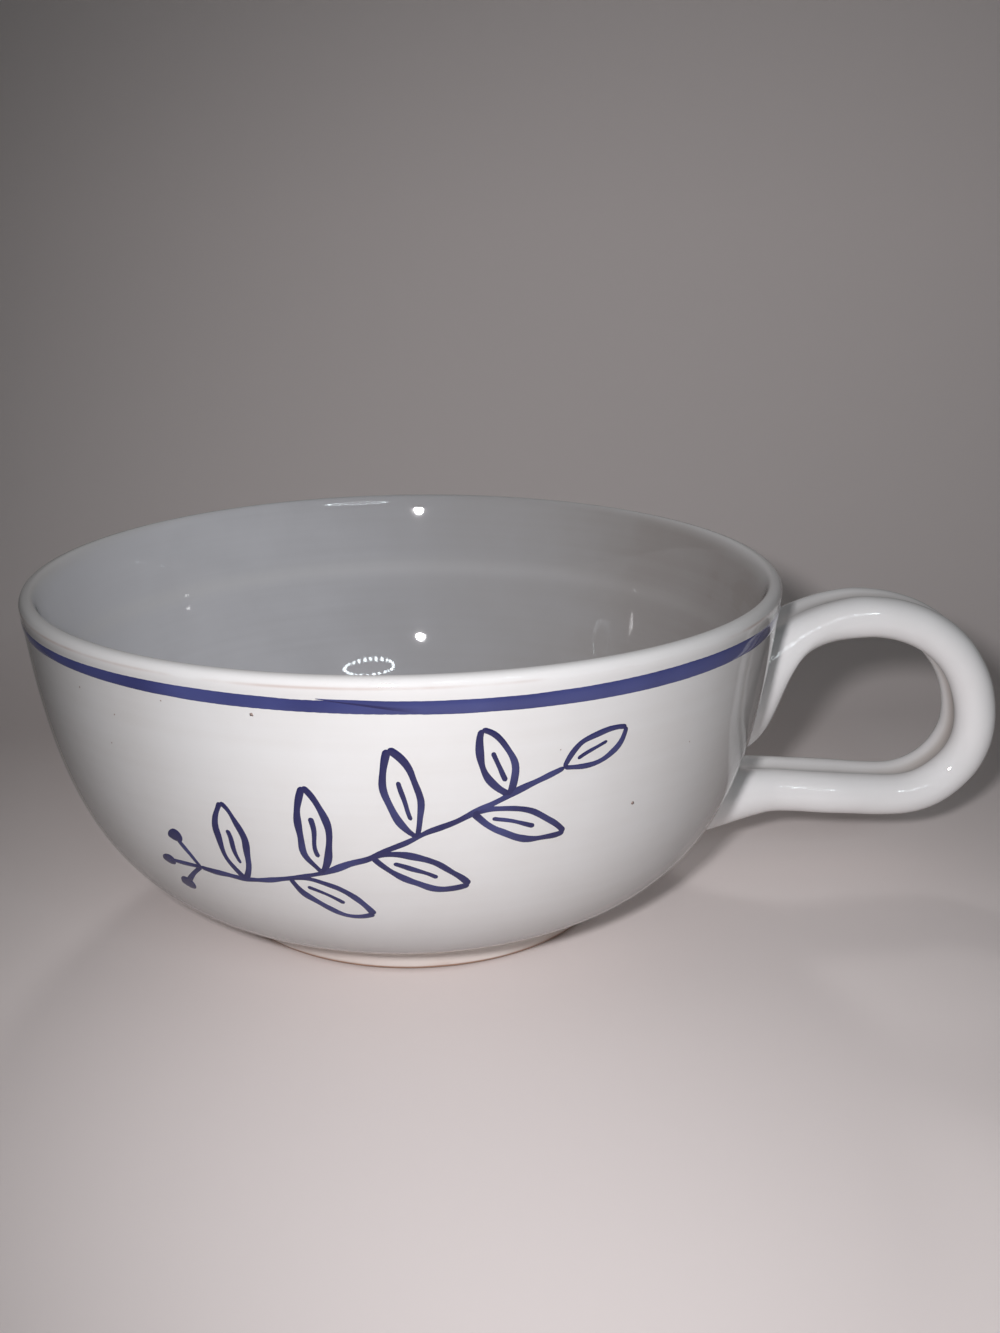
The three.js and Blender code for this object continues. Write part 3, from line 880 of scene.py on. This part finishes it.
band_sections, band_load = [], [END_LOAD]
for i in range(BAND_STEPS + 1):
    swept = (2 * math.pi + BAND_OVERLAP) * i / BAND_STEPS
    band_turn = BAND_START + swept
    tilt = BAND_TILT * math.cos(band_turn)
    band_top = BAND_TOP + BAND_TOP_WAVE * math.cos(BAND_TOP_WAVES * (band_turn + BAND_TOP_TURN))
    band_top += BAND_RIPPLE * noise(Vector((band_turn * BAND_RIPPLES, 0, 3))) - tilt
    band_top += BAND_STEP * (1 - smooth(swept / (3 * BAND_SLANT)))
    band_low = BAND_BOTTOM + BAND_BOTTOM_WAVE * math.cos(BAND_BOTTOM_WAVES * (band_turn + BAND_BOTTOM_TURN))
    band_low += BAND_RIPPLE * noise(Vector((band_turn * BAND_RIPPLES, 5, 0))) - tilt
    band_low -= BAND_SWELL * max(0.0, -math.cos(band_turn)) ** BAND_SWELL_POWER
    slant = min(1.0, BAND_LEAST + swept / BAND_SLANT)
    band_low = band_top + (band_low - band_top) * slant
    running_out = smooth((swept - 2 * math.pi + BAND_OVERLAP) / BAND_OVERLAP)
    thickness = PAINT_THICKNESS * (BAND_THICK - BAND_THINNED * running_out)
    high_edge, low_edge = on_wall(band_turn, band_top), on_wall(band_turn, band_low)
    band_out = wall_normal((high_edge + low_edge) / 2)
    band_sections.append(paint_ring(low_edge, high_edge, band_out, thickness))
    streak = BAND_LOAD + BAND_STREAK * noise(Vector((band_turn * BAND_STREAKS, 1.7, 0.3)))
    starting = BAND_START_LOAD * (1 - slant)
    for across in ACROSS:
        band_load.append(streak + BAND_EDGE_LOAD * pooled(across) + starting * (across < LOWER_HALF))
    band_load.append(BAND_LOAD)
band_load.append(END_LOAD)
band = new_piece("rim_band_stroke", *stroke_skin(band_sections), {"load": band_load})
BLUE_THIN = (0.068, 0.080, 0.235, 1)
BLUE_THICK = (0.020, 0.020, 0.095, 1)
BLUE_GRAIN = 0.5
BLUE_RANGE = (0.1, 1.0)


def blue_colour(tree, cloud):
    """Cobalt brushed on and fired under the gloss: paler where the brush ran dry."""
    grain = maths(tree, "MULTIPLY", maths(tree, "SUBTRACT", cloud, 0.5), BLUE_GRAIN)
    load = maths(tree, "ADD", shade_value(tree, "load"), grain)
    return colour_mix(tree, spread(tree, load, *BLUE_RANGE), BLUE_THIN, BLUE_THICK)


COBALT = glazed_material("cobalt_brushwork", blue_colour, lines=0.6, pinholes=0.0)
band.data.materials.append(COBALT)
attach(band, "root")
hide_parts("rim_band")

# Sprig: a leafy branch with three berries, drawn freehand on the front of the wall with the tip of
# the same cobalt brush, in lines about a millimetre wide with darker ends.
LINE_WIDTH = 1.15 * mm
RIB_WIDTH = 0.8 * mm
STALK_WIDTH = 0.9 * mm
BERRY_WIDTH = 2.6 * mm
LINE_STEP = 0.6 * mm
ROUND_END = (0.02, 0.1, 0.25, 0.5, 0.8)  # shares of the half width at which a line's end is cut
HAND_WAVER = 0.4  # millimetres
HAND_CHANGE = 0.24  # per millimetre
WIDTH_WAVER = 0.38
WIDTH_CHANGE = 300  # per metre
LINE_LOAD = 0.85
TIP_LOAD = 0.9
LINE_EDGE_LOAD = 0.2
LINE_STREAK = 0.5
LINE_CHANGE = 160  # per metre
BLOB_LOAD = 0.5
BLOB_LENGTH = 1.3 * mm
STEM_STEPS = 110
LEAF_STEPS = 40
RIB_STEPS = 20
STALK_STEPS = 12
sprig_points, sprig_faces, sprig_load = [], [], []


def on_front(place):
    """Millimetres right of the bowl's front and above the table, as a turn and height on the wall."""
    height = place.y * mm
    return Vector((-math.pi / 2 + place.x * mm / wall(along_at(height)).x, height))


def hand_waver(place):
    """How far the hand strays from a smooth line."""
    along = Vector((place.x * HAND_CHANGE, place.y * HAND_CHANGE, 0.5))
    return Vector((noise(along), noise(along + Vector((0, 0, 7))))) * HAND_WAVER


def brush_line(path, width=LINE_WIDTH):
    """One stroke along a path of places on the front, with round ends where the paint gathers."""
    walls = [on_wall(*on_front(place + hand_waver(place))) for place in path]
    travel = [0.0]
    for a, b in zip(walls, walls[1:]):
        travel.append(travel[-1] + (b - a).length)
    half, length = width / 2, travel[-1]
    ends = [half * share for share in ROUND_END]
    count = max(2, round((length - 2 * half) / LINE_STEP))
    stops = ends + [half + (length - 2 * half) * i / count for i in range(count + 1)]
    stops += [length - end for end in reversed(ends)]
    sections, load = [], [TIP_LOAD]
    for stop in stops:
        i = max(k for k in range(len(travel) - 1) if travel[k] <= stop)
        share = (stop - travel[i]) / (travel[i + 1] - travel[i])
        point, way = walls[i].lerp(walls[i + 1], share), walls[i + 1] - walls[i]
        out = wall_normal(point)
        to_end = min(stop, length - stop)
        round_off = math.sqrt(max(0.0, 1 - (1 - min(1.0, to_end / half)) ** 2))
        waver = 1 + WIDTH_WAVER * noise(point * WIDTH_CHANGE)
        side = out.cross(way).normalized() * half * round_off * waver
        sections.append(paint_ring(point - side, point + side, out, PAINT_THICKNESS))
        blob = BLOB_LOAD * math.exp(-to_end / BLOB_LENGTH) + LINE_STREAK * noise(point * LINE_CHANGE)
        load += [LINE_LOAD + blob + LINE_EDGE_LOAD * pooled(across) for across in ACROSS]
        load.append(LINE_LOAD)
    points, faces = stroke_skin(sections)
    sprig_faces.extend([i + len(sprig_points) for i in face] for face in faces)
    sprig_points.extend(points)
    sprig_load.extend(load + [TIP_LOAD])


LEAF_BULGE = 3.1
LEAF_SIDES = (  # shares of the leaf's length and of its bulge, where each side is drawn out
    ((0.25, 1.0), (0.7, 0.9)),
    ((0.3, -0.9), (0.8, -1.0)),
)
LEAF_RIB = ((0.2, 0.0), (0.4, 0.1), (0.66, 0.0))


def leaf(base, tip):
    """Two bowed strokes from the base of a leaf to its tip, and a short rib between them."""
    along = tip - base
    side = Vector((-along.y, along.x)).normalized() * LEAF_BULGE
    for bow in LEAF_SIDES:
        drawn_out = [base + along * far + side * off for far, off in bow]
        brush_line(curve_points([base, *drawn_out, tip], LEAF_STEPS))
    rib = [base + along * far + side * off for far, off in LEAF_RIB]
    brush_line(curve_points(rib, RIB_STEPS), RIB_WIDTH)


STEM = [Vector(place) for place in ((-33, 27), (-14, 24), (0, 38), (22, 45))]
LEAF_TIPS = {  # place along the stem: tip of its leaf
    0.14: (-28, 40),
    0.28: (-6, 21.5),
    0.38: (-15, 44),
    0.52: (8, 27),
    0.64: (-3, 50),
    0.78: (22, 34.5),
    0.87: (10, 52.5),
    1.0: (32, 49.5),
}
BERRIES = ((-37, 32), (-39.5, 27), (-36.5, 22.5))
BERRY_DAB = Vector((1.4, 0.3))
brush_line(curve_points(STEM, STEM_STEPS))
for stem_share, leaf_tip in LEAF_TIPS.items():
    leaf(bezier(STEM, stem_share), Vector(leaf_tip))
for berry in BERRIES:
    berry_place = Vector(berry)
    stalk = [STEM[0], STEM[0].lerp(berry_place, 0.5), berry_place]
    brush_line(curve_points(stalk, STALK_STEPS), STALK_WIDTH)
    brush_line([berry_place - BERRY_DAB, berry_place, berry_place + BERRY_DAB], BERRY_WIDTH)
sprig = new_piece("painted_sprig", sprig_points, sprig_faces, {"load": sprig_load})
sprig.data.materials.append(COBALT)
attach(sprig, "root")

# Glaze pits: a few spots on the wall where a bubble burst in the kiln. Each is a ragged crater,
# 0.2 to 0.6 mm across, with dark clay in it.
PITS = (  # turn from the handle in degrees, height and width in millimetres
    (-109.2, 54.4, 0.55),
    (-58.5, 36.5, 0.6),
    (-138, 53.0, 0.3),
    (-131, 50.5, 0.25),
    (-122, 54.6, 0.22),
    (-133, 45.5, 0.25),
    (-71, 48.0, 0.2),
    (-49, 44.0, 0.22),
    (64, 41.0, 0.4),
    (131, 33.0, 0.35),
)
PIT_LIFT = 0.012 * mm
PIT_DEPTH = 0.08 * mm
PIT_SIDES = 14
PIT_RAGGED = 0.5
PIT_SEED = 900  # gives each pit a ragged edge of its own
PIT_NOTCHES = 1.3
pit_points, pit_faces = [], []
for degrees, height, width in PITS:
    pit = on_wall(math.radians(degrees), height * mm)
    pit_out = wall_normal(pit)
    pit_side = pit_out.cross(Vector((0, 0, 1))).normalized()
    pit_up = pit_side.cross(pit_out)
    pit_rim = []
    for i in range(PIT_SIDES):
        pit_turn = 2 * math.pi * i / PIT_SIDES
        pit_way = pit_side * math.cos(pit_turn) + pit_up * math.sin(pit_turn)
        ragged_radius = width / 2 * mm * (1 + PIT_RAGGED * noise(pit * PIT_SEED + pit_way * PIT_NOTCHES))
        pit_rim.append(pit + pit_way * ragged_radius + pit_out * PIT_LIFT)
    pit_top, pit_bottom = pit + pit_out * PIT_LIFT / 2, pit - pit_out * PIT_DEPTH
    crater_points, crater_faces = skin([[pit_top], pit_rim, [pit_bottom]])
    pit_faces += [[i + len(pit_points) for i in face] for face in crater_faces]
    pit_points += crater_points
pits = new_piece("glaze_pits", pit_points, pit_faces, {})
PIT_ROUGHNESS = 0.7
PIT_GRAIN = 4000.0
pit_clay = bpy.data.materials.new("clay_in_pits")
pit_clay.use_nodes = True
pit_tree = pit_clay.node_tree
pit_shader = pit_tree.nodes["Principled BSDF"]
pit_shader.inputs["Roughness"].default_value = PIT_ROUGHNESS
pit_grain = add_node(pit_tree, "TexNoise", Scale=PIT_GRAIN).outputs["Fac"]
pit_colour = colour_mix(pit_tree, pit_grain, PIT_COLOUR, CLAY_BREAK)
pit_tree.links.new(pit_colour, pit_shader.inputs["Base Color"])
pits.data.materials.append(pit_clay)
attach(pits, "root")

# Table: a sweep of pale matt card that runs flat under the cup and curves up behind it. Seen from
# behind it is clear, so that it hides nothing, and the lamps behind and below shine through it.
SWEEP_FRONT = -1.6
SWEEP_BEND = 0.085
SWEEP_ROUND = 0.12
SWEEP_TOP = 1.3
SWEEP_SIDE = 1.8
SWEEP_DROP = 0.2 * mm  # keeps the card just clear of the foot
SWEEP_STEPS = 32
CARD_COLOUR = (0.85, 0.78, 0.76, 1)
CARD_ROUGHNESS = 0.9
CARD_SHINE = 0.2
sweep_line = [(SWEEP_FRONT, -SWEEP_DROP)]
for i in range(SWEEP_STEPS + 1):
    bend = math.pi / 2 * i / SWEEP_STEPS
    sweep_rise = SWEEP_ROUND * (1 - math.cos(bend)) - SWEEP_DROP
    sweep_line.append((SWEEP_BEND + SWEEP_ROUND * math.sin(bend), sweep_rise))
sweep_line.append((SWEEP_BEND + SWEEP_ROUND, SWEEP_TOP))
sweep_mesh = bpy.data.meshes.new("card_sweep")
sweep_mesh.from_pydata(
    [(side * SWEEP_SIDE, y, z) for y, z in sweep_line for side in (-1, 1)],
    [],
    [(2 * i, 2 * i + 1, 2 * i + 3, 2 * i + 2) for i in range(len(sweep_line) - 1)],
)
sweep_mesh.shade_smooth()
sweep = bpy.data.objects.new("card_sweep", sweep_mesh)
bpy.context.scene.collection.objects.link(sweep)
card = bpy.data.materials.new("matt_card")
card.use_nodes = True
card_tree = card.node_tree
card_shader = card_tree.nodes["Principled BSDF"]
card_shader.inputs["Base Color"].default_value = CARD_COLOUR
card_shader.inputs["Roughness"].default_value = CARD_ROUGHNESS
card_shader.inputs["Specular IOR Level"].default_value = CARD_SHINE
from_behind = add_node(card_tree, "NewGeometry").outputs["Backfacing"]
lamp_ray = add_node(card_tree, "LightPath").outputs["Is Shadow Ray"]
see_through = maths(card_tree, "MAXIMUM", from_behind, lamp_ray)
clear = add_node(card_tree, "BsdfTransparent").outputs[0]
both_sides = add_node(card_tree, "MixShader", in_0=see_through, in_1=card_shader.outputs[0], in_2=clear)
card_tree.links.new(both_sides.outputs[0], card_tree.nodes["Material Output"].inputs["Surface"])
sweep_mesh.materials.append(card)

# Light: a small lamp just left of the camera, two that shine through the card on the cup's back and
# underside, a ring lamp high on the right, and a soft grey room.
LAMP_PLACE = Vector((AXIS_X - 0.023, -0.240, 0.134))
LAMP_AIM = Vector((AXIS_X + 0.058, 0, 0.034))
LAMP_COLOUR = (0.985, 0.965, 0.985)
BACK_PLACE = Vector((AXIS_X, 0.75, 0.55))
BACK_AIM = Vector((AXIS_X, 0, 0.04))
UNDER_PLACE = Vector((AXIS_X + FOOT_SHIFT, 0, -0.6))
UNDER_AIM = Vector((AXIS_X + FOOT_SHIFT, 0, 0))


def spot_lamp(name, place, aim, radius, beam, power):
    """A round lamp with a soft beam, given in degrees."""
    data = bpy.data.lights.new(name, "SPOT")
    data.shadow_soft_size = radius
    data.spot_size = math.radians(beam)
    data.spot_blend = 1.0
    data.energy = power
    lamp = bpy.data.objects.new(name, data)
    lamp.location = place
    lamp.rotation_euler = (aim - place).to_track_quat("-Z", "Y").to_euler()
    bpy.context.scene.collection.objects.link(lamp)
    return lamp


front_lamp = spot_lamp("front_lamp", LAMP_PLACE, LAMP_AIM, radius=0.008, beam=92, power=1.70)
back_lamp = spot_lamp("back_lamp", BACK_PLACE, BACK_AIM, radius=0.1, beam=14, power=10)
under_lamp = spot_lamp("under_lamp", UNDER_PLACE, UNDER_AIM, radius=0.01, beam=7.5, power=5)
front_lamp.data.color = LAMP_COLOUR
back_lamp.visible_glossy = False
under_lamp.visible_glossy = False

RING_PLACE = Vector((AXIS_X + 0.17, -0.50, 0.345))
RING_AIM = Vector((AXIS_X, 0, 0.03))
RING_RADIUS = 0.108
RING_FLATTENED = 0.33
RING_LAMPS = 26
RING_LAMP_SIZE = 0.012
RING_STRENGTH = 24.0
RING_COLOUR = (0.88, 1.0, 1.05, 1)
LAMP_CORNERS = [Vector((x, y, 0)) * RING_LAMP_SIZE / 2 for x, y in ((-1, -1), (1, -1), (1, 1), (-1, 1))]
face_cup = (RING_AIM - RING_PLACE).to_track_quat("-Z", "Y").to_matrix()
ring_points, ring_faces = [], []
for i in range(RING_LAMPS):
    ring_turn = 2 * math.pi * i / RING_LAMPS
    lamp_middle = RING_RADIUS * Vector((math.cos(ring_turn), RING_FLATTENED * math.sin(ring_turn), 0))
    ring_faces.append([len(ring_points) + k for k in range(len(LAMP_CORNERS))])
    ring_points += [RING_PLACE + face_cup @ (lamp_middle + corner) for corner in LAMP_CORNERS]
ring_lamp = new_piece("ring_lamp", ring_points, ring_faces, {})
ring_glow = bpy.data.materials.new("ring_glow")
ring_glow.use_nodes = True
ring_shader = ring_glow.node_tree.nodes["Principled BSDF"]
ring_shader.inputs["Base Color"].default_value = (0, 0, 0, 1)
ring_shader.inputs["Emission Color"].default_value = RING_COLOUR
ring_shader.inputs["Emission Strength"].default_value = RING_STRENGTH
ring_lamp.data.materials.append(ring_glow)
ring_lamp.visible_camera = False

ROOM_COLOUR = (0.97, 1.0, 1.0, 1)
ROOM_LIGHT = 0.03
ROOM_SEEN = 0.25
world = bpy.data.worlds.new("grey_room")
bpy.context.scene.world = world
world.use_nodes = True
room = world.node_tree
room.nodes["Background"].inputs["Color"].default_value = ROOM_COLOUR
room_ray = add_node(room, "LightPath").outputs
seen = maths(room, "MAXIMUM", room_ray["Is Camera Ray"], room_ray["Is Transmission Ray"])
room_strength = add_node(room, "MapRange", Value=seen, To_Min=ROOM_LIGHT, To_Max=ROOM_SEEN).outputs[0]
room.links.new(room_strength, room.nodes["Background"].inputs["Strength"])

# Camera: a little above the rim and in front of the cup, with the handle on the right. Its lens is
# worked out from a focal length in pixels.
CAMERA_PLACE = Vector((AXIS_X, -0.24034, 0.11675))
CAMERA_YAW = -0.0685
CAMERA_PITCH = 0.3034
PICTURE_LONG_SIDE = 1333
FOCAL_PIXELS = 1399
SENSOR_SIZE = 36
camera_data = bpy.data.cameras.new("camera")
camera_data.sensor_width = SENSOR_SIZE
camera_data.lens = SENSOR_SIZE * FOCAL_PIXELS / PICTURE_LONG_SIDE
camera_data.clip_start = 0.01
camera = bpy.data.objects.new("camera", camera_data)
camera.matrix_world = (
    Matrix.Translation(CAMERA_PLACE)
    @ Matrix.Rotation(CAMERA_YAW, 4, "Z")
    @ Matrix.Rotation(math.pi / 2 - CAMERA_PITCH, 4, "X")
)
bpy.context.scene.collection.objects.link(camera)
bpy.context.scene.camera = camera
bpy.context.scene.view_settings.view_transform = "Standard"
